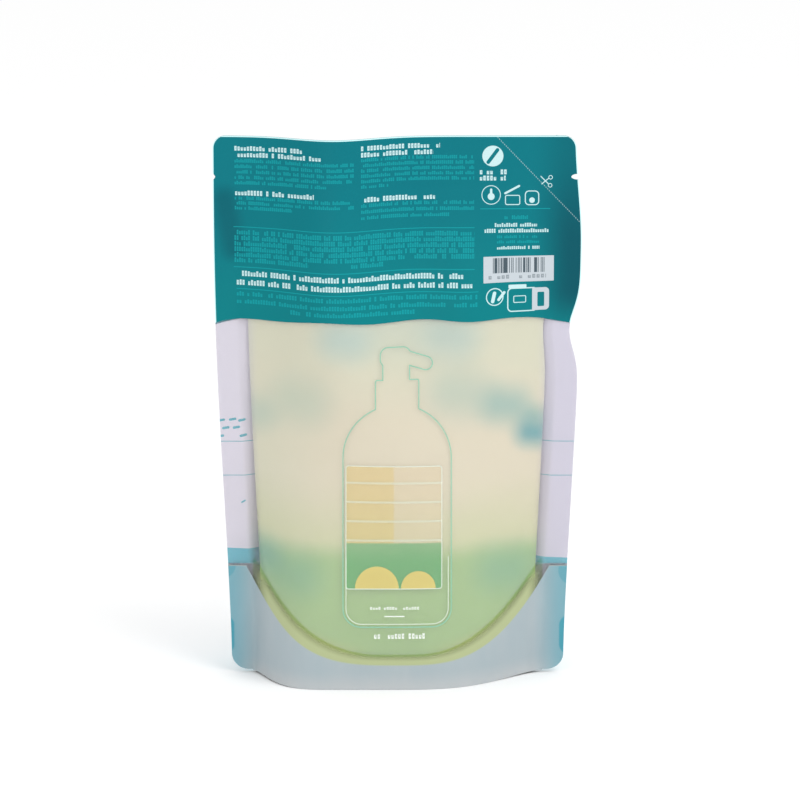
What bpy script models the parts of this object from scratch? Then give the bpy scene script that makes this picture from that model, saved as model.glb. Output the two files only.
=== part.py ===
"""A hand soap refill pack: a stand-up pouch of three heat-sealed film webs, filled with liquid soap.

Millimetres are written as MM times a number; the model itself is in metres, +Z up. The pouch stands
on the floor at z = 0 with its back web, the one with the small print, facing -Y. The origin is the
middle of its base.
"""

import math

import bmesh
import bpy

MM = 0.001

# The pouch as it stands
HALF_WIDTH = 80 * MM  # of the flat film; the bulge below draws the sides in
HEIGHT = 239 * MM
SIDE_SEAL = 9.5 * MM
TOP_SEAL_FOOT = 217 * MM  # where the webs meet under the top seal
TOP_CORNER = 5.5 * MM
BOTTOM_CORNER = 7.5 * MM
CORNER_LIFT = 1.4 * MM  # how far the bottom corners stand off the floor,
LIFT_START, LIFT_END = 0.62, 1.2  # from this place across to this one,
LIFT_HEIGHT = 40 * MM  # and dying out at this height
BULGE = 30.5 * MM  # half the depth of the base
BULGE_FOOT = 6 * MM  # below this the film stands straight up
BULGE_FALL, BULGE_ROUND = 1.49, 1.21
DRAW_IN = 1.86  # how little the bulge draws the side seals in
SECTION_ROUND = 1.04  # 1 is a parabola across the pouch
BOX_HEIGHT = 100 * MM  # below this the section turns boxy
BOX_POWER, BOX_ROUND = 3.4, 0.7
BASE_LEAN = 0.25  # and its deepest place moves to the left

# The film webs and what lies between them
FILM = 0.3 * MM
GAP = 0.3 * MM
LEAST_APART = 0.15 * MM  # each web's inner face to the middle, at the top and side seals
STEEP_GAP, STEEP_START, STEEP_FULL = 2.0, 0.5, 0.78  # the gap widens where the film turns steeply in
LAYER_ROOM = 0.1 * MM  # to spare where the gusset's two layers lie between the webs
PARTING_LOW, PARTING_HIGH = 3 * MM, 16 * MM  # the webs close up this far above the gusset

# The bottom gusset: sealed to both webs below a U-shaped line, and free above it
GUSSET_FOLD = 48.5 * MM
SKIRT = 10.5 * MM  # the seal's depth in the middle
SKIRT_RISE = 3.5  # how sharply the seal line climbs towards the side seals
FOLD_ROUND = 0.7 * MM  # the folded edge is bent round, this high above its two layers
KEEL_SAG, KEEL_ROUND = 12 * MM, 1.3  # and hangs this much lower in the middle
UNDER_DROP = 1.6  # the tent's under side, in film thicknesses straight down
TENT_ROUND = 1.7

# The liquid
FILL_LEVEL = 183 * MM
LIQUID_EDGE = 0.94  # the wedge of liquid ends here, as a share of the way to the side seal
SHY = 0.008  # it stops this much short of the film's column there
LIQUID_CLEAR = 0.8 * MM  # above the gusset in the middle, and three times that at the ends
CLEAR_GROWTH, CLEAR_POWER = 2, 12
LIQUID_INSET = 0.7 * MM  # inside the film's swell
RIDGE = 0.9  # its underside is flat along the gusset's fold, from this share of the way up

# The buckles of the empty top, as humps of the pouch's middle surface towards -Y
HUMP_X, HUMP_WIDTH, HUMP_DEPTH = -28 * MM, 23 * MM, 13.5 * MM
HUMP_START, HUMP_FULL = 0.38, 0.74  # it grows between these shares of the height
SMALL_HUMP_X, SMALL_HUMP_WIDTH, SMALL_HUMP_DEPTH = 30 * MM, 13 * MM, 4 * MM
SMALL_HUMP_Z, SMALL_HUMP_HEIGHT = 168 * MM, 22 * MM
TUCK_Z, TUCK_HEIGHT, TUCK_DEPTH = 153.7 * MM, 12.2 * MM, 4.4 * MM  # the right edge pulls in here
TOP_TURN, TURN_START = 2.7 * MM, 0.8  # and leans in at the top, from this share of the height
EDGE_START, EDGE_FULL = 0.6, 1.4  # both reach this far in from the edge

# Tear notches
NOTCH_Z = 221 * MM
LEFT_NOTCH_DEPTH, LEFT_NOTCH_HEIGHT = 1.2 * MM, 3.6 * MM
RIGHT_NOTCH_DEPTH, RIGHT_NOTCH_HEIGHT = 3.0 * MM, 2.6 * MM

# How finely the pieces are divided
LENS_COLUMNS, SEAL_COLUMNS, CORNER_ROWS, BODY_ROWS = 28, 2, 3, 27
TENT_POINTS, SKIRT_POINTS, SIDE_POINTS = 5, 3, 18


def smooth(low, high, value):
    """0 up to low, 1 from high on, and an S between them."""
    share = min(1.0, max(0.0, (value - low) / (high - low)))
    return share * share * (3 - 2 * share)


def hump(middle, width, value):
    return math.exp(-(((value - middle) / width) ** 2))


def bulge(z):
    """Half the depth of the pouch at its middle, which the weight of the liquid widens downwards."""
    share = min(1.0, max(0.0, (z - BULGE_FOOT) / (TOP_SEAL_FOOT - BULGE_FOOT)))
    return BULGE * (1 - share**BULGE_FALL) ** BULGE_ROUND


def seal_start(z):
    """Where the side seal begins. The film doesn't stretch, so the bulge draws it in."""
    flat = HALF_WIDTH - SIDE_SEAL
    return flat - bulge(z) ** 2 / (DRAW_IN * flat)


def corner_inset(z):
    """How far the rounded corners cut into the outline at this height."""
    for radius, depth in (
        (BOTTOM_CORNER, BOTTOM_CORNER - z),
        (TOP_CORNER, z - HEIGHT + TOP_CORNER),
    ):
        if depth > 0:
            return radius - math.sqrt(max(0.0, radius**2 - depth**2))
    return 0.0


def across(v, z):
    """x of a place on the film: v runs from -1 to 1 between the side seals, and on to -2 and 2."""
    start = seal_start(z)
    if abs(v) <= 1:
        x = start * v
    else:
        width = SIDE_SEAL - corner_inset(z)
        x = math.copysign(start + (abs(v) - 1) * width, v)
    tuck = TUCK_DEPTH * hump(TUCK_Z, TUCK_HEIGHT, z)
    tuck += TOP_TURN * smooth(TURN_START * HEIGHT, HEIGHT, z)
    return x - tuck * smooth(EDGE_START, EDGE_FULL, v)


def middle(x, z):
    """y of the pouch's middle surface, which is flat in the full part and buckled in the empty top."""
    grown = smooth(HUMP_START * HEIGHT, HUMP_FULL * HEIGHT, z)
    y = -HUMP_DEPTH * grown * hump(HUMP_X, HUMP_WIDTH, x)
    small = hump(SMALL_HUMP_Z, SMALL_HUMP_HEIGHT, z) * hump(SMALL_HUMP_X, SMALL_HUMP_WIDTH, x)
    return y - SMALL_HUMP_DEPTH * small


def swell(v, z):
    """How far each web stands off the middle surface."""
    if abs(v) >= 1:
        return 0.0
    boxy = 1 - smooth(0, BOX_HEIGHT, z)
    v += BASE_LEAN * boxy * (1 - v * v)
    section = max(0.0, 1 - abs(v) ** (2 + BOX_POWER * boxy))
    return bulge(z) * section ** (SECTION_ROUND + BOX_ROUND * boxy)


def apart(z):
    """Each web's inner face to the middle at the side seals: the gusset's two layers lie between."""
    layers = GAP / 2 + FILM + GAP + LAYER_ROOM
    parted = 1 - smooth(GUSSET_FOLD + PARTING_LOW, GUSSET_FOLD + PARTING_HIGH, z)
    return LEAST_APART + (layers - LEAST_APART) * parted


def lifted(v, z):
    """The height itself: the bottom corners stand slightly off the floor."""
    return z + CORNER_LIFT * smooth(LIFT_START, LIFT_END, abs(v)) * max(0.0, 1 - z / LIFT_HEIGHT)


def place(v, z, off, side):
    """The point on one side of the middle surface, off metres beyond the film's swell."""
    x = across(v, z)
    return (x, middle(x, z) + side * (swell(v, z) + off), lifted(v, z))


def seal_line(v):
    """The height of the gusset's seal to each web."""
    climb = min(1.0, abs(v)) ** SKIRT_RISE
    return SKIRT + (GUSSET_FOLD - SKIRT) * climb


def keel(v):
    """The height of the gusset's folded edge."""
    return GUSSET_FOLD + FOLD_ROUND - KEEL_SAG * max(0.0, 1 - v * v) ** KEEL_ROUND


def layer_gap(v):
    """The gap between the gusset and a web, along y."""
    steep = smooth(STEEP_START, STEEP_FULL, abs(v)) * (1 - smooth(LIQUID_EDGE, 1, abs(v)))
    return GAP * (1 + STEEP_GAP * steep)


def tent(v, q, raised, side):
    """A point of the gusset's free part: q is 0 at the seal line and 1 at the folded edge."""
    foot = seal_line(v)
    z = foot + (keel(v) - foot) * (1 - (1 - q) ** TENT_ROUND)
    reach = swell(v, foot) + apart(foot) - layer_gap(v)
    x = across(v, z)
    return (x, side * reach * (1 - q), lifted(v, z) + raised)


def material(name, colour, roughness, alpha=1.0):
    made = bpy.data.materials.new(name)
    made.use_nodes = True
    shader = made.node_tree.nodes["Principled BSDF"]
    shader.inputs["Base Color"].default_value = (*colour, 1.0)
    shader.inputs["Roughness"].default_value = roughness
    shader.inputs["Alpha"].default_value = alpha
    return made


def finished(name, mesh, finish, collection):
    mesh.shade_smooth()
    mesh.set_sharp_from_angle(angle=math.radians(35))
    piece = bpy.data.objects.new(name, mesh)
    collection.objects.link(piece)
    mesh.materials.append(finish)
    return piece


def column_places():
    """v of each column of the film's grid, left to right."""
    lens = [LIQUID_EDGE * (-1 + 2 * i / LENS_COLUMNS) for i in range(LENS_COLUMNS + 1)]
    seal = [1 + i / SEAL_COLUMNS for i in range(SEAL_COLUMNS + 1)]
    return [-v for v in reversed(seal)] + lens + seal


def row_places():
    """z of each row, bottom to top: the corner rows step round their arcs."""
    turns = [math.radians(90 * i / CORNER_ROWS) for i in range(CORNER_ROWS + 1)]
    low = [BOTTOM_CORNER * (1 - math.cos(turn)) for turn in turns]
    high = [HEIGHT - TOP_CORNER * (1 - math.cos(turn)) for turn in reversed(turns)]
    step = (high[0] - low[-1]) / BODY_ROWS
    return low + [low[-1] + step * i for i in range(1, BODY_ROWS)] + high


def web(name, side, finish, collection, cutters):
    """A printed film web: a grid bent to the pouch's shape, thickened, with the tear notches cut."""
    columns, rows = column_places(), row_places()
    grid = bmesh.new()
    bmesh.ops.create_grid(grid, x_segments=len(columns) - 1, y_segments=len(rows) - 1, size=1)
    for vert in grid.verts:
        v = columns[round((vert.co.x + 1) / 2 * (len(columns) - 1))]
        z = rows[round((vert.co.y + 1) / 2 * (len(rows) - 1))]
        vert.co = place(v, z, apart(z) + FILM / 2, side)
    if side > 0:
        bmesh.ops.reverse_faces(grid, faces=grid.faces[:])
    mesh = bpy.data.meshes.new(name)
    grid.to_mesh(mesh)
    grid.free()
    piece = finished(name, mesh, finish, collection)
    wall = piece.modifiers.new("film", "SOLIDIFY")
    wall.thickness, wall.offset = FILM, 0
    for cutter in cutters:
        cut = piece.modifiers.new(cutter.name, "BOOLEAN")
        cut.object = cutter
    return piece


def loft(name, rings_of_points, finish, collection, sheet=False):
    """A closed body through rings from left to right. A sheet's ends are strips between its two sides."""
    body = bmesh.new()
    rings = [[body.verts.new(point) for point in ring] for ring in rings_of_points]
    count = len(rings[0])
    for near, far in zip(rings, rings[1:]):
        for i in range(count):
            j = (i + 1) % count
            body.faces.new((near[i], near[j], far[j], far[i]))
    if sheet:
        for i in range(count // 2 - 1):
            corners = (i, i + 1, count - 2 - i, count - 1 - i)
            body.faces.new([rings[0][corner] for corner in reversed(corners)])
            body.faces.new([rings[-1][corner] for corner in corners])
    else:
        caps = [body.faces.new(reversed(rings[0])), body.faces.new(rings[-1])]
        bmesh.ops.triangulate(body, faces=caps)
    if body.calc_volume(signed=True) < 0:
        bmesh.ops.reverse_faces(body, faces=body.faces[:])
    mesh = bpy.data.meshes.new(name)
    body.to_mesh(mesh)
    body.free()
    return finished(name, mesh, finish, collection)


def gusset_section(v):
    """The folded bottom web's upper and under side: up the back skirt, over the tent, down the front."""
    foot, gap = seal_line(v), layer_gap(v)
    reach = swell(v, foot) + apart(foot) - gap
    upper, under = [], []
    for side in (-1, 1):
        heights = [foot * i / SKIRT_POINTS for i in range(SKIRT_POINTS)]
        steps = [i / TENT_POINTS for i in range(TENT_POINTS)]
        outer = [place(v, z, apart(z) - gap, side) for z in heights]
        outer += [tent(v, q, 0, side) for q in steps]
        inner = [place(v, z, apart(z) - gap - FILM, side) for z in heights]
        for q in steps:
            x, y, z = tent(v, q, -UNDER_DROP * FILM, side)
            inner.append((x, y * (1 - FILM / reach), z))
        if side > 0:
            outer, inner = outer[::-1], inner[::-1]
        upper += outer
        under += inner
    return upper + under[::-1]


def liquid_section(v):
    """The liquid's back and front: from the ridge of the tent down to the seal, and up each web."""
    seal, gap = seal_line(v), layer_gap(v)
    reach = swell(v, seal) + apart(seal) - gap
    stand_off = (reach - swell(v, seal) + max(gap, LIQUID_INSET)) / reach
    clear = LIQUID_CLEAR * (1 + CLEAR_GROWTH * abs(v) ** CLEAR_POWER)
    foot = seal + clear + TENT_ROUND * stand_off * (keel(v) - seal)
    heights = [foot + (FILL_LEVEL - foot) * i / SIDE_POINTS for i in range(SIDE_POINTS + 1)]
    steps = [i / TENT_POINTS for i in range(TENT_POINTS - 1, 0, -1)]
    lines = []
    for side in (-1, 1):
        line = [tent(v, RIDGE, clear, side)]
        line += [tent(v, q, clear, side) for q in steps]
        lines.append(line + [place(v, z, -LIQUID_INSET, side) for z in heights])
    return lines[0] + lines[1][::-1]


def notch_cutters(collection):
    """A V for the left edge and a round-ended slot for the right one."""
    left_edge, right_edge = across(-2, NOTCH_Z), across(2, NOTCH_Z)
    made = []
    for name, x, sides, half_x, half_z in (
        ("left_notch", left_edge, 4, LEFT_NOTCH_DEPTH, LEFT_NOTCH_HEIGHT / 2),
        ("right_notch", right_edge, 20, RIGHT_NOTCH_DEPTH, RIGHT_NOTCH_HEIGHT / 2),
    ):
        mesh = bpy.data.meshes.new(name)
        prism = bmesh.new()
        bmesh.ops.create_cone(
            prism, cap_ends=True, segments=sides, radius1=1, radius2=1, depth=40 * MM
        )
        for vert in prism.verts:
            long, tall, deep = vert.co
            vert.co = (x + long * half_x, -deep, NOTCH_Z + tall * half_z)
        bmesh.ops.recalc_face_normals(prism, faces=prism.faces[:])
        prism.to_mesh(mesh)
        prism.free()
        cutter = bpy.data.objects.new(name, mesh)
        cutter.hide_render = True
        cutter.display_type = "WIRE"
        collection.objects.link(cutter)
        made.append(cutter)
    return made


for leftover in list(bpy.data.objects):
    bpy.data.objects.remove(leftover)
pouch = bpy.data.collections.new("soap_refill_pack")
helpers = bpy.data.collections.new("cutters")
for group in (pouch, helpers):
    bpy.context.scene.collection.children.link(group)

printed_film = material("printed_film", (0.0, 0.2, 0.23), 0.4)
front_film = material("front_film", (0.7, 0.72, 0.78), 0.4)
clear_film = material("clear_film", (0.6, 0.66, 0.7), 0.35, alpha=0.6)
soap = material("soap", (0.55, 0.6, 0.3), 0.1)

notches = notch_cutters(helpers)
web("back_panel", -1, printed_film, pouch, notches)
web("front_panel", 1, front_film, pouch, notches)
folded = [gusset_section(v) for v in column_places()]
loft("bottom_gusset", folded, clear_film, pouch, sheet=True)
inner = [v for v in column_places() if abs(v) < LIQUID_EDGE - SHY]
wet = [SHY - LIQUID_EDGE, *inner, LIQUID_EDGE - SHY]
loft("liquid_soap", [liquid_section(v) for v in wet], soap, pouch)
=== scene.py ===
import math

import bpy
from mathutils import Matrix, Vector


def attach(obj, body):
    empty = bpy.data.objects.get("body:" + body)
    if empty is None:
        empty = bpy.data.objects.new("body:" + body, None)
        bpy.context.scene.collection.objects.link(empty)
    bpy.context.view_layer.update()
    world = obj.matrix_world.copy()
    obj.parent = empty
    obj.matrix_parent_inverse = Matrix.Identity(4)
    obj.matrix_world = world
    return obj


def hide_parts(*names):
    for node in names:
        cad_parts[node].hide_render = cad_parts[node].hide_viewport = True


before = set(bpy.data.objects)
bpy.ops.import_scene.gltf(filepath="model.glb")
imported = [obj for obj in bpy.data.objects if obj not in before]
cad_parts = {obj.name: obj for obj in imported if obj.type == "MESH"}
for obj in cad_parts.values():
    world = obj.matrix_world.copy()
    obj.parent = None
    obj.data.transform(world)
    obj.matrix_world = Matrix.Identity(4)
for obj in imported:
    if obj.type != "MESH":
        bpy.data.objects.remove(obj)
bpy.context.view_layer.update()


# ---- Back web -------------------------------------------------------------------------------
# The printed film web with the small print: a teal field over the empty top, bare satin film
# below, so that the soap shows. It is heat-sealed to the front web at the sides and the top,
# and to the folded gusset below a U-shaped line.

MM = 0.001
HALF_WIDTH, HEIGHT = 80.0, 239.0  # the cut film, in millimetres like every size below
SIDE_SEAL, TOP_SEAL_FOOT = 9.5, 217.0
TOP_CORNER, BOTTOM_CORNER = 5.5, 7.5
CORNER_LIFT, LIFT_HEIGHT = 1.4, 40
FILM = 0.3
BULGE, STRAIGHT_FOOT = 30.5, 6  # half the depth at the base, and the film's upright foot
BOX_HEIGHT = 100  # below this the section is boxy, above it a lens
BUCKLE, SMALL_BUCKLE, EDGE_TUCK, TOP_TURN = 13.5, 4, 4.4, 2.7
NOTCH_HEIGHT = 221
LENS_SHARE = 0.875  # the share of the sheet's columns that lie between the side seals


def smooth(low, high, value):
    """0 up to low, 1 from high on, and an S between them."""
    share = min(1.0, max(0.0, (value - low) / (high - low)))
    return share * share * (3 - 2 * share)


def hump(middle, width, value):
    """1 at its middle, falling away on both sides over about its width."""
    return math.exp(-(((value - middle) / width) ** 2))


def bulge(z):
    """Half the depth of the filled pouch at its middle."""
    share = min(1.0, max(0.0, (z - STRAIGHT_FOOT) / (TOP_SEAL_FOOT - STRAIGHT_FOOT)))
    return BULGE * (1 - share**1.49) ** 1.21


def seal_start(z):
    """Where the side seal begins: the bulge draws it in."""
    flat = HALF_WIDTH - SIDE_SEAL
    return flat - bulge(z) ** 2 / (1.86 * flat)


def corner_inset(z):
    """How far the rounded corners of the cut film stand back from its side edge."""
    for radius, depth in ((BOTTOM_CORNER, BOTTOM_CORNER - z), (TOP_CORNER, z - HEIGHT + TOP_CORNER)):
        if depth > 0:
            return radius - math.sqrt(max(0.0, radius**2 - depth**2))
    return 0.0


def across(v, z):
    """x of a place on the film: v is -1 to 1 between the side seals, and 2 at the cut edges."""
    start = seal_start(z)
    x = start * v if abs(v) <= 1 else math.copysign(
        start + (abs(v) - 1) * (SIDE_SEAL - corner_inset(z)), v)
    tuck = EDGE_TUCK * hump(153.7, 12.2, z) + TOP_TURN * smooth(0.8 * HEIGHT, HEIGHT, z)
    return x - tuck * smooth(0.6, 1.4, v)


def creases(x, z):
    """Small folds of the film: pulls at the side seals, and soft dents in the empty top."""
    side = hump(66, 9, abs(x)) * smooth(20, 60, z) * (1 - smooth(205, 232, z))
    pull = 0.28 * side * math.sin(z / 5.3 + math.copysign(1.3, x)) * (0.6 + 0.4 * math.sin(z / 13.7))
    dent = 0.9 * hump(-68, 6, x) * hump(202, 9, z) - 0.5 * hump(-58, 8, x) * hump(207, 7, z)
    kink = 0.7 * hump(6, 7, x - (z - 185) * 0.5) * hump(188, 12, z)
    pinch = 0.8 * hump(62, 5, x - (z - 160) * 0.35) * hump(160, 12, z)
    return pull + dent + kink + pinch


def middle(x, z):
    """y of the pouch's middle surface, buckled towards the reader in the empty top."""
    y = -BUCKLE * smooth(0.38 * HEIGHT, 0.74 * HEIGHT, z) * hump(-28, 23, x)
    return y - SMALL_BUCKLE * hump(168, 22, z) * hump(30, 13, x) + creases(x, z)


def swell(v, z):
    """How far each web stands off the middle surface: a lens above, boxy near the base."""
    if abs(v) >= 1:
        return 0.0
    boxy = 1 - smooth(0, BOX_HEIGHT, z)
    v += 0.25 * boxy * (1 - v * v)
    return bulge(z) * max(0.0, 1 - abs(v) ** (2 + 3.4 * boxy)) ** (1.04 + 0.7 * boxy)


def apart(z):
    """Each web's inner face to the middle: room for the gusset's layers low down."""
    return 0.15 + 0.7 * (1 - smooth(51.5, 64.5, z))


def lifted(v, z):
    """The bottom corners stand slightly off the floor."""
    return z + CORNER_LIFT * smooth(0.62, 1.2, abs(v)) * max(0.0, 1 - z / LIFT_HEIGHT)


def place(v, z, off, side):
    """A point of the pouch, off millimetres beyond the film's swell; side is -1 at the back web."""
    x = across(v, z)
    return Vector((x, middle(x, z) + side * (swell(v, z) + off), lifted(v, z))) * MM


def sheet_of_film(name, columns, rows, position):
    """A flat sheet laid out as a grid, then every point moved to where the film lies."""
    bpy.ops.object.select_all(action="DESELECT")
    bpy.ops.mesh.primitive_grid_add(x_subdivisions=columns, y_subdivisions=rows, size=2)
    sheet = bpy.context.object
    sheet.name = sheet.data.name = name
    sheet.data.uv_layers[0].name = "flat_film"
    for vert in sheet.data.vertices:
        vert.co = position(vert.co.x, vert.co.y)
    return sheet


def thickened(sheet, outward):
    """The sheet gets the film's thickness, with its outer face outwards."""
    if not outward:
        bpy.ops.object.mode_set(mode="EDIT")
        bpy.ops.mesh.select_all(action="SELECT")
        bpy.ops.mesh.flip_normals()
        bpy.ops.object.mode_set(mode="OBJECT")
    wall = sheet.modifiers.new("film", "SOLIDIFY")
    wall.thickness, wall.offset = FILM * MM, 0
    bpy.ops.object.modifier_apply(modifier=wall.name)


def web_place(across_share, up_share, side):
    """The grid's columns are even in the lens and in each seal; its rows crowd at both ends."""
    v = across_share / LENS_SHARE
    if abs(across_share) > LENS_SHARE:
        v = math.copysign(1 + (abs(across_share) - LENS_SHARE) / (1 - LENS_SHARE), across_share)
    z = HEIGHT * (0.5 + 0.5 * math.sin(math.pi / 2 * up_share))
    return place(v, z, apart(z) + FILM / 2, side)


def tear_notches(web):
    """A V in the left edge and a round-ended slot in the right one, cut through both webs."""
    for v, sides, depth, half_height in ((-2, 4, 1.2, 1.8), (2, 24, 3.0, 1.3)):
        bpy.ops.object.select_all(action="DESELECT")
        bpy.ops.mesh.primitive_cylinder_add(
            vertices=sides, radius=1, depth=0.04, rotation=(math.pi / 2, 0, 0),
            location=(across(v, NOTCH_HEIGHT) * MM, 0, NOTCH_HEIGHT * MM))
        punch = bpy.context.object
        punch.scale = (depth * MM, half_height * MM, 1)
        cut = web.modifiers.new("notch", "BOOLEAN")
        cut.object = punch
        bpy.context.view_layer.objects.active = web
        bpy.ops.object.modifier_apply(modifier=cut.name)
        bpy.data.objects.remove(punch)


def smoothed(piece):
    """Smooth shading, apart from the film's cut edges."""
    bpy.ops.object.select_all(action="DESELECT")
    piece.select_set(True)
    bpy.context.view_layer.objects.active = piece
    bpy.ops.object.shade_smooth_by_angle(angle=math.radians(40))


class Field:
    """A value that changes over a surface. Arithmetic with it adds Math nodes to its material."""

    def __init__(self, tree, socket):
        self.tree, self.socket = tree, socket

    def step(self, operation, *others, clamp=False):
        maths = self.tree.nodes.new("ShaderNodeMath")
        maths.operation, maths.use_clamp = operation, clamp
        for slot, value in enumerate((self, *others)):
            if isinstance(value, Field):
                self.tree.links.new(value.socket, maths.inputs[slot])
            else:
                maths.inputs[slot].default_value = value
        return Field(self.tree, maths.outputs[0])

    def __add__(self, other):
        return self.step("ADD", other)

    def __sub__(self, other):
        return self.step("SUBTRACT", other)

    def __mul__(self, other):
        return self.step("MULTIPLY", other)

    def __truediv__(self, other):
        return self.step("DIVIDE", other)

    def above(self, other):
        return self.step("GREATER_THAN", other)

    def below(self, other):
        return self.step("LESS_THAN", other)

    def least(self, other):
        return self.step("MINIMUM", other)

    def most(self, other):
        return self.step("MAXIMUM", other)

    def floor(self):
        return self.step("FLOOR")

    def fract(self):
        return self.step("FRACT")

    def size(self):
        return self.step("ABSOLUTE")

    def root(self):
        return self.step("SQRT")

    def power(self, other):
        return self.step("POWER", other)

    def opposite(self):
        return self.step("MULTIPLY", -1.0) + 1.0

    def ramp(self, low, high, bottom=0.0, top=1.0):
        """bottom up to low, top from high on, and an S between them."""
        ranged = self.tree.nodes.new("ShaderNodeMapRange")
        ranged.interpolation_type = "SMOOTHSTEP"
        self.tree.links.new(self.socket, ranged.inputs["Value"])
        for name, value in (("From Min", low), ("From Max", high), ("To Min", bottom), ("To Max", top)):
            ranged.inputs[name].default_value = value
        return Field(self.tree, ranged.outputs["Result"])


def ink(red, green, blue):
    """A print colour as a designer writes it, 0 to 255, turned linear."""
    return tuple(((c / 255 + 0.055) / 1.055) ** 2.4 if c > 10 else c / 255 / 12.92
                 for c in (red, green, blue)) + (1.0,)


def over(tree, under, top, mask):
    """One colour printed over another where the mask is 1."""
    mix = tree.nodes.new("ShaderNodeMix")
    mix.data_type = "RGBA"
    for slot, value in (("A", under), ("B", top)):
        socket = [s for s in mix.inputs if s.name == slot and s.type == "RGBA"][0]
        if isinstance(value, tuple):
            socket.default_value = value
        else:
            tree.links.new(value, socket)
    tree.links.new(mask.socket, mix.inputs["Factor"])
    return [s for s in mix.outputs if s.type == "RGBA"][0]


def on_the_film(tree):
    """x and z of the film in millimetres, from the piece's own place in the pouch."""
    spot = tree.nodes.new("ShaderNodeTexCoord")
    in_mm = tree.nodes.new("ShaderNodeMapping")
    in_mm.inputs["Scale"].default_value = (1000, 1000, 1000)
    parts = tree.nodes.new("ShaderNodeSeparateXYZ")
    tree.links.new(spot.outputs["Object"], in_mm.inputs["Vector"])
    tree.links.new(in_mm.outputs["Vector"], parts.inputs["Vector"])
    return Field(tree, parts.outputs["X"]), Field(tree, parts.outputs["Z"]), in_mm.outputs["Vector"]


def cloudy(tree, vector, scale, detail=2.0, stretch=(1, 1, 1)):
    """Soft uneven patches, 0 to 1, about scale millimetres across."""
    turned = tree.nodes.new("ShaderNodeMapping")
    turned.inputs["Scale"].default_value = stretch
    tree.links.new(vector, turned.inputs["Vector"])
    noise = tree.nodes.new("ShaderNodeTexNoise")
    noise.inputs["Scale"].default_value = 1 / scale
    noise.inputs["Detail"].default_value = detail
    tree.links.new(turned.outputs["Vector"], noise.inputs["Vector"])
    return Field(tree, noise.outputs["Fac"])


def at_random(tree, column, row):
    """A number from 0 to 1 that belongs to one cell of a row of print."""
    cell = tree.nodes.new("ShaderNodeCombineXYZ")
    for name, value in (("X", column), ("Y", row)):
        tree.links.new(value.socket, cell.inputs[name])
    noise = tree.nodes.new("ShaderNodeTexWhiteNoise")
    noise.noise_dimensions = "2D"
    tree.links.new(cell.outputs["Vector"], noise.inputs["Vector"])
    return Field(tree, noise.outputs["Value"])


def stencil(name, inputs, drawing):
    """A node group that puts out one mask or distance; drawing gets its inputs by name."""
    group = bpy.data.node_groups.new(name, "ShaderNodeTree")
    for label, default in inputs.items():
        socket = group.interface.new_socket(name=label, in_out="INPUT", socket_type="NodeSocketFloat")
        socket.default_value = default
    group.interface.new_socket(name="Mask", in_out="OUTPUT", socket_type="NodeSocketFloat")
    entry, result = group.nodes.new("NodeGroupInput"), group.nodes.new("NodeGroupOutput")
    drawn = drawing(group, *[Field(group, entry.outputs[label]) for label in inputs])
    group.links.new(drawn.socket, result.inputs["Mask"])
    return group


def stamped(group, *values):
    """The stencil placed in a material: the first two values are x and z on the film."""
    tree = values[0].tree
    placed = tree.nodes.new("ShaderNodeGroup")
    placed.node_tree = group
    for slot, value in enumerate(values):
        if isinstance(value, Field):
            tree.links.new(value.socket, placed.inputs[slot])
        else:
            placed.inputs[slot].default_value = value
    return Field(tree, placed.outputs["Mask"])


def draw_rows(tree, x, z, left, right, last, top, pitch, count, tall, letter):
    """Rows of small print without letters: short blocks, in words, of uneven height."""
    down = (top - z) / pitch
    row, within = down.floor(), down.fract() * pitch
    in_rows = down.above(0) * down.below(count)
    last_row = row.above(count - 1.5)
    end = right + last_row * (last - right)
    across_row = (x - left) / letter
    column, part = across_row.floor(), across_row.fract()
    luck = at_random(tree, column, row + top)
    height = tall * (luck * 7).fract().ramp(0.25, 0.6, 0.72, 1.0)
    inked = luck.above(0.15) * part.below(0.7) * within.below(tall) * (tall - within).below(height)
    hollow = (part - 0.42).size().below(0.13) * (within / tall - 0.5).size().below(0.2)
    return in_rows * x.above(left) * x.below(end) * inked * (hollow * 0.45).opposite()


def draw_ring(tree, x, z, middle_x, middle_z, radius, width):
    """A ring; radius 0 and a large width make a disc."""
    dx, dz = x - middle_x, z - middle_z
    return ((dx * dx + dz * dz).root() - radius).size().below(width / 2)


def draw_line_distance(tree, x, z, ax, az, bx, bz):
    """How far a place is from the straight stroke between two points."""
    dx, dz, px, pz = bx - ax, bz - az, x - ax, z - az
    along = ((px * dx + pz * dz) / (dx * dx + dz * dz)).most(0).least(1)
    ex, ez = px - dx * along, pz - dz * along
    return (ex * ex + ez * ez).root()


def draw_box_distance(tree, x, z, middle_x, middle_z, half_x, half_z, corner):
    """How far a place is outside a round-cornered box, negative inside."""
    dx, dz = (x - middle_x).size() - half_x + corner, (z - middle_z).size() - half_z + corner
    ox, oz = dx.most(0), dz.most(0)
    return (ox * ox + oz * oz).root() + dx.most(dz).least(0) - corner


def draw_bars(tree, x, z, left, right, low, high, bar):
    """A bar code's stripes of one, two or three bars' width."""
    stripe = ((x - left) / bar).floor()
    luck = at_random(tree, stripe, stripe * 0 + high)
    return x.above(left) * x.below(right) * z.above(low) * z.below(high) * luck.above(0.47)


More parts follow.
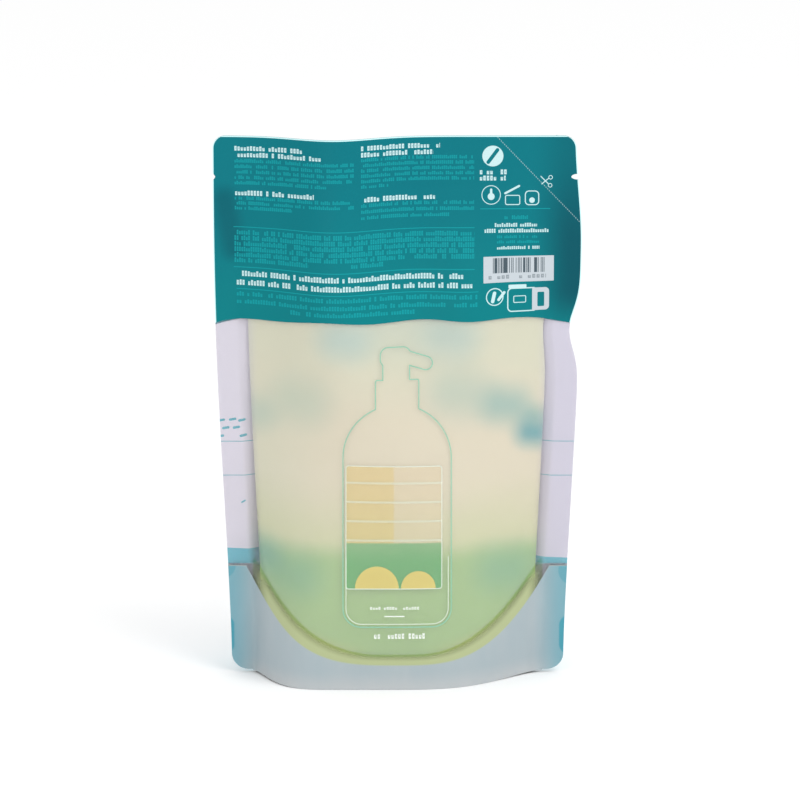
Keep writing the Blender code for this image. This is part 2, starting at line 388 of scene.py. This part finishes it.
small_print = stencil("small_print", {
    "X": 0, "Z": 0, "Left": 0, "Right": 0, "Last row ends": 0, "Top": 0, "Pitch": 2.4, "Rows": 1,
    "Height": 1.5, "Letter": 0.9}, draw_rows)
ring = stencil("ring", {"X": 0, "Z": 0, "Middle X": 0, "Middle Z": 0, "Radius": 1, "Width": 1}, draw_ring)
stroke = stencil("stroke", {"X": 0, "Z": 0, "From X": 0, "From Z": 0, "To X": 0, "To Z": 1},
                 draw_line_distance)
panel = stencil("panel", {
    "X": 0, "Z": 0, "Middle X": 0, "Middle Z": 0, "Half width": 1, "Half height": 1, "Corner": 0.1},
    draw_box_distance)
bar_code = stencil("bar_code", {
    "X": 0, "Z": 0, "Left": 0, "Right": 1, "Low": 0, "High": 1, "Bar": 0.3}, draw_bars)

back_web = sheet_of_film("back_web", 160, 236, lambda a, u: web_place(a, u, -1))
thickened(back_web, outward=True)
tear_notches(back_web)
smoothed(back_web)

# The darkest teal here stands for painted shade, and the brightest for uneven tone and painted light.
TEAL, PAINTED_SHADE_TEAL, BRIGHT_TEAL = ink(0, 107, 118), ink(0, 78, 90), ink(0, 118, 122)
SOFT_INK, WHITE_INK, WARM_WHITE = ink(12, 146, 152), ink(186, 214, 216), ink(182, 190, 196)
# The foot's grey-blue is partly painted shade of the hollow behind it.
BARE_FILM, FLANGE_WITH_PAINTED_SHADE = ink(206, 203, 214), ink(158, 172, 178)


def film_material(name):
    """A satin film: its gloss varies a little, and it is finely crinkled."""
    made = bpy.data.materials.new(name)
    made.use_nodes = True
    tree = made.node_tree
    shader = tree.nodes["Principled BSDF"]
    x, z, in_mm = on_the_film(tree)
    grain = cloudy(tree, in_mm, 7, 4)
    tree.links.new(grain.ramp(0.2, 0.8, 0.36, 0.5).socket, shader.inputs["Roughness"])
    bump = tree.nodes.new("ShaderNodeBump")
    bump.inputs["Strength"].default_value = 0.14
    bump.inputs["Distance"].default_value = 0.0004
    tree.links.new(cloudy(tree, in_mm, 11, 3, (1, 1, 0.45)).socket, bump.inputs["Height"])
    tree.links.new(bump.outputs["Normal"], shader.inputs["Normal"])
    shader.inputs["Specular IOR Level"].default_value = 0.1
    return made, tree, shader, x, z, in_mm


def teal_field(tree, x, z, in_mm):
    """The field of teal ink, unevenly toned, with painted light towards its foot and painted shade where
    the film turns away and in the dent at the left.
    """
    # Uneven tone from the noise, and painted light: the field is painted lighter towards its foot.
    shade = (cloudy(tree, in_mm, 34, 3) - 0.5) * 0.5 + z.ramp(158, 215, 0.75, 0.1)
    colour = over(tree, TEAL, BRIGHT_TEAL, shade.most(0).least(1))
    # Painted shade where the film turns away at the right edge and in the dent at the left.
    turned_away_shade = x.ramp(56, 76) * z.ramp(150, 172) * z.ramp(190, 236, 1.0, 0.45)
    dent = stamped(stroke, x, z, -75, 211, -71, 190).ramp(1, 9, 0.6, 0.0)
    return over(tree, colour, PAINTED_SHADE_TEAL, turned_away_shade.most(dent))


def cut_edge(tree):
    """1 along the film's cut edges, which are drawn pale."""
    cut_film = tree.nodes.new("ShaderNodeUVMap")
    cut_film.uv_map = "flat_film"
    flat = tree.nodes.new("ShaderNodeSeparateXYZ")
    tree.links.new(cut_film.outputs["UV"], flat.inputs["Vector"])
    side = (Field(tree, flat.outputs["X"]) - 0.5).size().above(0.4972)
    return side.most(Field(tree, flat.outputs["Y"]).above(0.9715))


def together(masks):
    """Several masks as one."""
    joined = masks[0]
    for mask in masks[1:]:
        joined = joined.most(mask)
    return joined


def printed_part(name, soft_blocks=(), rules=(), bold_blocks=(), marks=None):
    """The teal field with its paragraphs in soft ink, its headings in white, and any marks.

    A block of small print is its left and right, its last row's end, the top of its first row,
    the pitch and number of its rows, and the height and width of a letter's place.
    """
    made, tree, shader, x, z, in_mm = film_material(name)
    colour = teal_field(tree, x, z, in_mm)
    soft = [stamped(small_print, x, z, *block) for block in soft_blocks]
    for left, right, height in rules:
        soft.append(stamped(stroke, x, z, left, height, right, height).below(0.17))
    if soft:
        colour = over(tree, colour, SOFT_INK, together(soft) * 0.85)
    bold = [stamped(small_print, x, z, *block) for block in bold_blocks]
    if bold:
        colour = over(tree, colour, WHITE_INK, together(bold))
    if marks:
        colour = marks(tree, x, z, colour)
    colour = over(tree, colour, ink(190, 230, 232), cut_edge(tree))
    tree.links.new(colour, shader.inputs["Base Color"])
    return made


RULES = ((-71, 33.2, 199.1), (-71, 33.2, 181.5), (-69.8, 34.9, 172.0))
WIDE_SOFT = ((-70.7, 33.4, -38.6, 197.8, 2.44, 6, 2.0, 1.0), (-20.0, -6.0, -6.0, 185.6, 2.4, 1, 2.0, 1.0),
             (-69.8, 34.8, 34.8, 170.8, 3.3, 2, 1.9, 1.15), (-46.4, 7.5, 7.5, 164.5, 3.0, 1, 1.9, 1.15))
WIDE_BOLD = ((-67.5, 30.0, 30.0, 179.9, 3.0, 1, 2.3, 1.25), (-69.8, 34.8, 34.8, 176.0, 3.0, 1, 2.3, 1.25))

left_print = printed_part(
    "print_left",
    ((-70.5, -18.9, -30.8, 228.9, 2.4, 5, 1.5, 0.85), (-70.5, -18.9, -45.6, 212.6, 2.2, 3, 1.5, 0.85),
     *WIDE_SOFT), RULES,
    ((-70.5, -41.2, -41.2, 234.6, 3.0, 1, 2.0, 1.35), (-70.5, -32.8, -32.8, 231.8, 3.0, 1, 2.0, 1.35),
     (-70.3, -36.1, -36.1, 215.1, 3.0, 1, 2.1, 1.35), *WIDE_BOLD))
middle_print = printed_part(
    "print_middle",
    ((-15.7, 33.1, -4.0, 230.6, 2.32, 6, 1.5, 0.85), (-15.7, 33.1, 24.0, 210.8, 2.6, 3, 1.5, 0.85),
     *WIDE_SOFT), RULES,
    ((-15.7, 18.3, 18.3, 235.9, 3.0, 1, 2.0, 1.35), (-15.7, 15.4, 15.4, 233.1, 3.0, 1, 2.0, 1.35),
     (-15.7, 16.2, 16.2, 213.6, 3.0, 1, 2.1, 1.35), *WIDE_BOLD))


def upper_marks(tree, x, z, colour):
    """Plain marks: a disc, a drop in a ring, an open box, a tub, and the dotted line to cut along."""
    marks = stamped(ring, x, z, 41.2, 230.1, 0, 9.1)
    marks = marks * stamped(stroke, x, z, 39.2, 227.4, 43.2, 232.8).above(0.8)
    marks = marks.most(stamped(ring, x, z, 40.5, 213.1, 4.0, 0.35))
    marks = marks.most(stamped(ring, x, z, 40.5, 212.4, 0, 3.0))
    marks = marks.most(stamped(stroke, x, z, 40.5, 213, 40.5, 215.4).below(0.5))
    marks = marks.most(stamped(panel, x, z, 49.8, 210.9, 3.1, 2.0, 0.7).size().below(0.2))
    marks = marks.most(stamped(stroke, x, z, 46.6, 213.8, 52.6, 217.0).below(0.45))
    marks = marks.most(stamped(panel, x, z, 58.2, 211.8, 2.9, 3.0, 1.6).size().below(0.22))
    marks = marks.most(stamped(ring, x, z, 58.2, 210.8, 0, 2.4))
    diagonal = stamped(stroke, x, z, 42.8, 238.8, 78.8, 201.3).below(0.16)
    marks = marks.most(diagonal * (x / 0.72).fract().below(0.5) * 0.6)
    for ax, az, bx, bz in ((62.0, 221.2, 65.2, 218.0), (62.4, 217.9, 65.3, 220.3)):
        marks = marks.most(stamped(stroke, x, z, ax, az, bx, bz).below(0.2))
    for cx, cz in ((66.0, 217.3), (66.2, 220.8)):
        marks = marks.most(stamped(ring, x, z, cx, cz, 0.8, 0.3))
    return over(tree, colour, WHITE_INK, marks)


def lower_marks(tree, x, z, colour):
    """A white panel with a bar code, a ring, and a folder in outline and filled."""
    marks = stamped(ring, x, z, 42.1, 169.3, 3.6, 0.45)
    marks = marks.most(stamped(stroke, x, z, 41.2, 167.4, 42.0, 170.9).below(0.75))
    marks = marks.most(stamped(stroke, x, z, 43.8, 168.0, 46.2, 171.0).below(0.6))
    folder = stamped(panel, x, z, 56.8, 167.6, 9.0, 5.0, 1.8)
    marks = marks.most(folder.size().below(0.25) * x.below(59.5))
    marks = marks.most(stamped(panel, x, z, 53.0, 167.8, 2.6, 1.4, 0.4).size().below(0.18))
    marks = marks.most(stamped(panel, x, z, 52.0, 173.4, 3.9, 0.8, 0.3).below(0))
    paper = folder.below(0) * x.above(58.4) * stamped(panel, x, z, 62.2, 167.4, 1.5, 3.2, 0.5).above(0)
    paper = paper.most(stamped(panel, x, z, 52.5, 181.0, 15.3, 5.6, 0.2).below(0))
    colour = over(tree, over(tree, colour, WHITE_INK, marks), WARM_WHITE, paper)
    code = stamped(bar_code, x, z, 41.3, 64.0, 179.4, 185.9, 0.32)
    dashes = stamped(small_print, x, z, 39.4, 64.4, 64.4, 178.6, 3, 1, 1.7, 1.9)
    return over(tree, colour, ink(70, 84, 92), code.most(dashes * 0.55))


upper_right_print = printed_part(
    "print_upper_right",
    ((46.3, 56.4, 56.4, 204.2, 2.0, 1, 1.6, 0.8), (43.1, 60.5, 61.4, 195.6, 2.2, 2, 1.2, 0.8)),
    ((35.9, 66.0, 207.1),),
    ((35.6, 47.4, 46.8, 224.2, 2.7, 2, 2.1, 1.5), (42.1, 60.4, 60.4, 200.9, 2.0, 1, 1.6, 1.0),
     (37.7, 65.5, 65.5, 198.5, 2.4, 1, 1.7, 1.0), (43.1, 61.5, 61.5, 190.9, 2.0, 1, 1.3, 0.9)),
    upper_marks)
lower_right_print = printed_part("print_lower_right", marks=lower_marks)

# Below the field: bare film with a bottle drawn in one line, and a frosted heat-sealed foot, its
# grey-blue partly the front print seen through and partly painted shade of the hollow under the gusset.
clear_part, tree, shader, x, z, in_mm = film_material("clear_back")
edge = ((x - 11.5) / 6.7).step("COSINE") * 0.55 + 159.6
edge = edge - (x / 79).power(6) * 3.2
field = z.above(edge)
above_seal = z - ((x.size() / 66.5).least(1).power(3.2) * 37.5 + 10.8)
flange = above_seal.ramp(-0.5, 0.5, 1.0, 0.0)
frost = cloudy(tree, in_mm, 9, 3, (1, 1, 0.35))
# Painted shade: the foot's grey-blue stands for the hollow under the gusset, over the front print seen
# through. It fades to the paler seal towards the bottom edge and is uneven with the frost.
foot = over(tree, FLANGE_WITH_PAINTED_SHADE, ink(184, 187, 188), (z.ramp(0, 9, 1.0, 0.0) * 0.6 + frost * 0.4).least(1))
foot = over(tree, foot, ink(112, 164, 178), x.size().ramp(58, 74) * 0.85)
blots = stamped(panel, x, z, -76, 17, 4.2, 8.5, 4).least(stamped(panel, x, z, 76, 17, 5.0, 9.0, 4.8))
blots = blots.least(stamped(ring, x, z, -77, 48.5, 0, 12).opposite() * 4).least(
    stamped(ring, x, z, 77, 46, 0, 13).opposite() * 4)
foot = over(tree, foot, ink(62, 148, 166), blots.ramp(-0.4, 0.4, 0.85, 0.0))
from_seal = above_seal / x.size().ramp(10, 62, 1.0, 2.4)
thin_soap = from_seal.ramp(1.6, 5.0, 0.95, 0.0) * x.size().ramp(56, 64, 1.0, 0.0)
foot = over(tree, ink(172, 181, 138), foot, flange)
near_foot = flange.most(thin_soap.above(0.01))
colour = over(tree, over(tree, BARE_FILM, foot, near_foot), teal_field(tree, x, z, in_mm), field)
foot_alpha = (flange * 0.9 + frost * flange * 0.08).most(thin_soap)

body = stamped(stroke, x, z, -0.2, 100.3, -0.2, 60) - 23.5
body = body.least(stamped(panel, x, z, -0.2, 62, 23.5, 34.3, 8))
body = body.least(stamped(panel, x, z, -0.2, 124, 9.4, 10.5, 0.8))
body = body.least(stamped(panel, x, z, -0.6, 137, 5.8, 5.5, 0.4))
body = body.least(stamped(panel, x, z, -0.9, 144.4, 6.6, 4.2, 3.4))
body = body.least(stamped(stroke, x, z, 0, 145.2, 12.2, 141.4) - 2.9)
outline = body.size().below(0.2)
inner_line = (body + 1.3).size().below(0.16) * z.below(58)
label = stamped(panel, x, z, -1.6, 70.7, 20.8, 26.3, 1.2)
label_line = label.size().below(0.2) * 0.8
upper = label.below(0)
stripes = (z / 8.2).fract().above(0.9) * upper * z.above(62)
hills = stamped(ring, x, z, -9, 44.6, 0, 19).most(stamped(ring, x, z, 9, 44.6, 0, 15)) * upper
colour = over(tree, colour, ink(228, 216, 196), upper * x.above(-1.6) * z.above(64))
colour = over(tree, colour, ink(228, 208, 160), upper * x.below(-1.6) * z.above(64))
colour = over(tree, colour, ink(128, 186, 150), upper * z.below(64))
colour = over(tree, colour, ink(233, 212, 140), hills)
colour = over(tree, colour, ink(214, 222, 206), label_line.most(stripes * 0.7))
colour = over(tree, colour, ink(138, 196, 172), outline)
colour = over(tree, colour, ink(226, 236, 220), inner_line)
white_rows = stamped(small_print, x, z, -11.9, 9.7, 9.7, 36.6, 3, 1, 1.2, 1.2)
white_rows = white_rows.most(stamped(stroke, x, z, -5.5, 32.4, 2.8, 32.4).below(0.25))
white_rows = white_rows.most(stamped(small_print, x, z, -10.2, 11.8, 11.8, 24.9, 3, 1, 2.3, 1.5))
colour = over(tree, colour, ink(244, 248, 244), white_rows)
colour = over(tree, colour, ink(190, 230, 232), cut_edge(tree) * field)
alpha = field.most(outline * 0.75).most(inner_line * 0.6).most(label_line).most(stripes * 0.5)
alpha = alpha.most(upper * 0.3).most(white_rows * 0.6).most(hills * 0.5).most(foot_alpha).most(0.12)
tree.links.new(colour, shader.inputs["Base Color"])
tree.links.new(alpha.socket, shader.inputs["Alpha"])

for finish in (left_print, middle_print, upper_right_print, lower_right_print, clear_part):
    back_web.data.materials.append(finish)
for face in back_web.data.polygons:
    spot_x, spot_z = face.center.x / MM, face.center.z / MM
    part = (spot_x > -17.3) + (spot_x > 35.2) + (spot_x > 35.2 and spot_z < 188.3)
    face.material_index = 4 if spot_z < 161.7 else part

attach(back_web, "root")
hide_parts("back_panel")


# ---- Front web ------------------------------------------------------------------------------
# The second printed web, sealed to the first all round. Its print is seen from inside at the
# clear side seals: pale ground, a teal field at the top and waves at the foot, all generic.

front_web = sheet_of_film("front_web", 160, 236, lambda a, u: web_place(a, u, 1))
thickened(front_web, outward=False)
tear_notches(front_web)
smoothed(front_web)

coated, tree, shader, x, z, in_mm = film_material("coated_front")
ground = over(tree, ink(210, 206, 215), ink(200, 197, 210), x.ramp(40, 78))
shore = (x / 26).step("SINE") * 1.2 + x.ramp(-66, 66, 56.2, 51.0)
swell_in_middle = (x / 52).power(2).most(0).least(1).opposite() * 6.5
sea = z.below(shore + swell_in_middle)
colour = over(tree, ground, ink(60, 168, 184), sea)
colour = over(tree, colour, ink(118, 182, 198), z.below(48.9))
pebbles = stamped(panel, x, z, -69.6, 13.6, 3.9, 9.6, 3.8)
pebbles = pebbles.least(stamped(panel, x, z, 67.6, 14, 5.3, 9.7, 5.2))
blobs = pebbles.below(0).most(stamped(ring, x, z, -75, 49, 0, 11.5)).most(
    stamped(ring, x, z, 77.5, 45.0, 0, 12.6))
for cx, cz, radius in (
        (-38, 30, 5.5), (-14, 19, 7), (12, 33, 6), (37, 20, 5), (-60, 37, 2.2), (55, 40, 3)):
    blobs = blobs.most(stamped(ring, x, z, cx, cz, 0, 2 * radius))
colour = over(tree, colour, ink(20, 140, 160), blobs * z.below(49))
lines = (z - 103.8).size().below(0.16).most((z - 88.6).size().below(0.16)) * x.size().above(30)
dash = stamped(stroke, x, z, -68.2, 76.4, -66.8, 77.2).below(0.35)
for cx, cz in ((-77, 113), (-72, 113.4), (-68, 113), (-75, 109.6), (-70.4, 109.8), (-77.4, 105.9),
               (-67.4, 106.2)):
    dash = dash.most(stamped(stroke, x, z, cx - 1.1, cz, cx + 1.1, cz + 0.4).below(0.55))
colour = over(tree, colour, ink(40, 158, 170), lines.most(dash))
edge = ((x + 9) / 8.4).step("COSINE") * 0.6 + 159.4
edge = edge - (x / 79).power(6) * 3.2
field = z.above(edge)
colour = over(tree, colour, TEAL, field)
sun = stamped(ring, x, z, 0, 199, 0, 34)
colour = over(tree, colour, ink(238, 226, 178), sun)
plaque = stamped(panel, x, z, 0, 108, 34, 24, 6)
colour = over(tree, colour, ink(240, 234, 216), plaque.below(0))
colour = over(tree, colour, ink(120, 186, 160), (plaque + 2).size().below(0.4))
rows = stamped(small_print, x, z, -24, 24, 24, 176, 4, 2, 2.2, 1.6)
colour = over(tree, colour, ink(240, 245, 245), rows)
tree.links.new(colour, shader.inputs["Base Color"])
front_web.data.materials.append(coated)

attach(front_web, "root")
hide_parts("front_panel")


# ---- Bottom gusset --------------------------------------------------------------------------
# A clear film folded up between the two webs. Its skirts are sealed to them below a U-shaped
# line; above it the film is free, and the soap presses it into a tent over the hollow base.

GUSSET_FOLD, SKIRT = 48.5, 10.5


def seal_line(v):
    """The height of the U-shaped seal."""
    return SKIRT + (GUSSET_FOLD - SKIRT) * min(1.0, abs(v)) ** 3.5


def layer_gap(v):
    """Between the gusset and a web, along y; wider where the film turns steeply."""
    return 0.3 * (1 + 2 * smooth(0.5, 0.78, abs(v)) * (1 - smooth(0.94, 1, abs(v))))


def keel(v):
    """The height of the folded edge, which hangs lower in the middle."""
    return GUSSET_FOLD + 0.7 - 12 * max(0.0, 1 - v * v) ** 1.3


def tent(v, q, raised, side):
    """A point of the free part: q is 0 at the seal and 1 at the folded edge."""
    foot = seal_line(v)
    z = foot + (keel(v) - foot) * (1 - (1 - q) ** 1.7)
    reach = swell(v, foot) + apart(foot) - layer_gap(v)
    return Vector((across(v, z), side * reach * (1 - q), lifted(v, z) + raised)) * MM


def gusset_place(across_share, fold_share):
    """From the back skirt's cut edge at -1, up over the fold at 0, to the front skirt's at 1."""
    v, side, up = 2 * across_share, math.copysign(1, fold_share), 1 - abs(fold_share)
    if up < 0.3:
        z = seal_line(v) * up / 0.3
        return place(v, z, apart(z) - layer_gap(v) - FILM / 2, side)
    point = tent(v, (up - 0.3) / 0.7, -0.8 * FILM, side)
    point.y -= math.copysign(min(abs(point.y), FILM / 2 * MM), side)
    return point


gusset = sheet_of_film("gusset_film", 128, 80, gusset_place)
thickened(gusset, outward=False)
smoothed(gusset)

clear_film = bpy.data.materials.new("gusset_film")
clear_film.use_nodes = True
tree = clear_film.node_tree
shader = tree.nodes["Principled BSDF"]
x, z, in_mm = on_the_film(tree)
haze = cloudy(tree, in_mm, 9, 3, (1, 1, 0.4))
tree.links.new(over(tree, ink(206, 216, 222), ink(226, 232, 236), haze), shader.inputs["Base Color"])
tree.links.new(haze.ramp(0.3, 0.7, 0.05, 0.1).socket, shader.inputs["Alpha"])
tree.links.new(haze.ramp(0.2, 0.8, 0.3, 0.45).socket, shader.inputs["Roughness"])
shader.inputs["Specular IOR Level"].default_value = 0.2
gusset.data.materials.append(clear_film)

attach(gusset, "root")
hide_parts("bottom_gusset")


# ---- Liquid soap ----------------------------------------------------------------------------
# The fill: a thick pale liquid that takes the pouch's shape, resting on the gusset's tent. It
# looks cream against the pale front print, green against the waves, and yellow at thin edges.

FILL_LEVEL, LIQUID_EDGE = 183.0, 0.932
LIQUID_INSET, LIQUID_CLEAR = 0.75, 0.9  # off the webs' middle, and off the gusset
TENT_POINTS = 9


def soap_outline(v):
    """The section's corner points from the ridge down the back, up the web, and over."""
    foot_line = seal_line(v)
    gap = layer_gap(v)
    reach = swell(v, foot_line) + apart(foot_line) - gap
    stand_off = (reach - swell(v, foot_line) + max(gap, LIQUID_INSET)) / reach
    clear = LIQUID_CLEAR * (1 + 2 * abs(v) ** 12)
    foot = foot_line + clear + 1.7 * stand_off * (keel(v) - foot_line)
    line = [tent(v, (9 - i) / 10, clear, -1) for i in range(TENT_POINTS)]
    line += [place(v, foot + (FILL_LEVEL - foot) * i / 34, -LIQUID_INSET, -1) for i in range(35)]
    top = place(v, FILL_LEVEL, -LIQUID_INSET, 1)
    line += [line[-1].lerp(top, share) for share in (0.25, 0.5)]
    return line


def soap_place(across_share, round_share):
    """Half the outline runs down the back and up to the top; the front half mirrors it."""
    v = across_share * LIQUID_EDGE
    line = soap_outline(v)
    at = (1 - abs(round_share)) * (len(line) - 1)
    low = min(int(at), len(line) - 2)
    point = line[low].lerp(line[low + 1], at - low)
    if round_share > 0:
        point.y += 2 * (middle(point.x / MM, point.z / MM) * MM - point.y)
        if at < TENT_POINTS:
            point.y = -line[low].lerp(line[low + 1], at - low).y
    if abs(across_share) > 0.999 and at >= TENT_POINTS:
        point.y = middle(point.x / MM, point.z / MM) * MM  # the side edges are pinched shut
    return point


soap = sheet_of_film("soap", 96, 90, soap_place)
bpy.ops.object.mode_set(mode="EDIT")
bpy.ops.mesh.select_mode(type="VERT")
bpy.ops.mesh.select_all(action="DESELECT")
bpy.ops.object.mode_set(mode="OBJECT")
for corner, spot in zip(soap.data.loops, soap.data.uv_layers["flat_film"].uv):
    if spot.vector.y < 0.001 or spot.vector.y > 0.999:
        soap.data.vertices[corner.vertex_index].select = True
bpy.ops.object.mode_set(mode="EDIT")
bpy.ops.mesh.select_mode(type="VERT")
bpy.ops.mesh.bridge_edge_loops()  # closes the skin along the gusset's ridge
bpy.ops.mesh.select_all(action="SELECT")
bpy.ops.mesh.remove_doubles(threshold=0.00002)
bpy.ops.mesh.select_all(action="DESELECT")
bpy.ops.mesh.select_non_manifold()
bpy.ops.mesh.fill_holes(sides=0)
bpy.ops.mesh.select_all(action="SELECT")
bpy.ops.mesh.normals_make_consistent(inside=False)
bpy.ops.object.mode_set(mode="OBJECT")
smoothed(soap)

fluid = bpy.data.materials.new("thick_soap")
fluid.use_nodes = True
tree = fluid.node_tree
shader = tree.nodes["Principled BSDF"]
x, z, in_mm = on_the_film(tree)
drift = (cloudy(tree, in_mm, 26, 2) - 0.5) * 14
cream, cool_cream, green = ink(214, 205, 174), ink(200, 206, 174), ink(150, 183, 112)
cool = (z + drift).ramp(112, 150, 0.0, 0.6).most(x.ramp(-66, -20, 0.5, 0.0))
colour = over(tree, cream, cool_cream, cool)
colour = over(tree, colour, ink(190, 198, 140), (z + drift).ramp(58, 96, 0.7, 0.0))
colour = over(tree, colour, green, (z + drift * 0.4).ramp(54, 66, 1.0, 0.0))
thin = (z - ((x.size() / 66.5).least(1).power(3.2) * 37.5 + 10.8))
colour = over(tree, colour, ink(196, 192, 104), thin.ramp(0.5, 11, 0.75, 0.0) * x.size().ramp(8, 34))
for cx, cz, radius, colour_there, strength in (
    (-22.7, 153, 11, ink(150, 186, 178), 0.6), (22.7, 153.5, 12, ink(150, 186, 178), 0.55),
    (0, 158, 16, ink(170, 190, 170), 0.4), (-42, 125, 13, ink(158, 186, 160), 0.45),
    (27, 128, 13, ink(146, 180, 160), 0.5), (47, 122, 10, ink(120, 170, 156), 0.75),
    (60.5, 109, 7.5, ink(60, 150, 150), 0.95), (61.5, 116, 6, ink(96, 160, 150), 0.6),
    (-63, 118, 9, ink(150, 180, 160), 0.5), (-46, 50, 12, ink(112, 168, 120), 0.7),
    (47, 50, 12, ink(112, 168, 120), 0.7), (-62, 57, 9, ink(90, 160, 140), 0.6),
):
    colour = over(tree, colour, colour_there, stamped(stroke, x, z, cx - 3, cz, cx + 3, cz - 1).ramp(
        0, radius * 1.5, strength, 0.0))
rim_grey = x.size().ramp(60, 66.5, 0.0, 0.45)
colour = over(tree, colour, ink(196, 198, 200), rim_grey * z.above(52))
tree.links.new(colour, shader.inputs["Base Color"])
tree.links.new(cloudy(tree, in_mm, 20, 2).ramp(0.3, 0.7, 0.2, 0.35).socket, shader.inputs["Roughness"])
shader.inputs["Specular IOR Level"].default_value = 0.1
soap.data.materials.append(fluid)

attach(soap, "root")
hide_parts("liquid_soap")


# ---- Studio ---------------------------------------------------------------------------------
# A white floor, soft light from the upper right, and a long lens a little above the pouch.

bpy.ops.object.select_all(action="DESELECT")
bpy.ops.mesh.primitive_grid_add(x_subdivisions=2, y_subdivisions=2, size=14, location=(0, 0, -0.0001))
floor = bpy.context.object
floor.name = "floor"
paper_white = bpy.data.materials.new("paper_white")
paper_white.use_nodes = True
paper_white.node_tree.nodes["Principled BSDF"].inputs["Base Color"].default_value = (0.95, 0.95, 0.95, 1)
paper_white.node_tree.nodes["Principled BSDF"].inputs["Roughness"].default_value = 0.9
paper_white.node_tree.nodes["Principled BSDF"].inputs["Specular IOR Level"].default_value = 0.0
floor.data.materials.append(paper_white)


def soft_light(name, size, place_of, aim, watts):
    light = bpy.data.lights.new(name, "AREA")
    light.size, light.energy = size, watts
    lamp = bpy.data.objects.new(name, light)
    bpy.context.scene.collection.objects.link(lamp)
    lamp.location = place_of
    lamp.rotation_euler = (Vector(aim) - Vector(place_of)).to_track_quat("-Z", "Y").to_euler()


soft_light("key", 0.9, (0.75, -0.75, 1.15), (0, 0, 0.1), 7)
soft_light("fill", 1.2, (-0.4, -1.6, 0.5), (0, 0, 0.12), 3)

world = bpy.data.worlds.new("white_room")
bpy.context.scene.world = world
world.use_nodes = True
world.node_tree.nodes["Background"].inputs["Color"].default_value = (1, 1, 1, 1)
world.node_tree.nodes["Background"].inputs["Strength"].default_value = 1.02
bpy.context.scene.view_settings.view_transform = "Standard"

CAMERA_DISTANCE, CAMERA_LIFT = 2.5, math.radians(12)
lens_data = bpy.data.cameras.new("camera")
lens_data.lens, lens_data.sensor_width = 257.9, 36
camera = bpy.data.objects.new("camera", lens_data)
bpy.context.scene.collection.objects.link(camera)
aim = Vector((0.00105, 0, 0.1222))
back_off = Vector((0, -math.cos(CAMERA_LIFT), math.sin(CAMERA_LIFT)))
camera.location = aim + back_off * CAMERA_DISTANCE
camera.rotation_euler = (-back_off).to_track_quat("-Z", "Y").to_euler()
bpy.context.scene.camera = camera
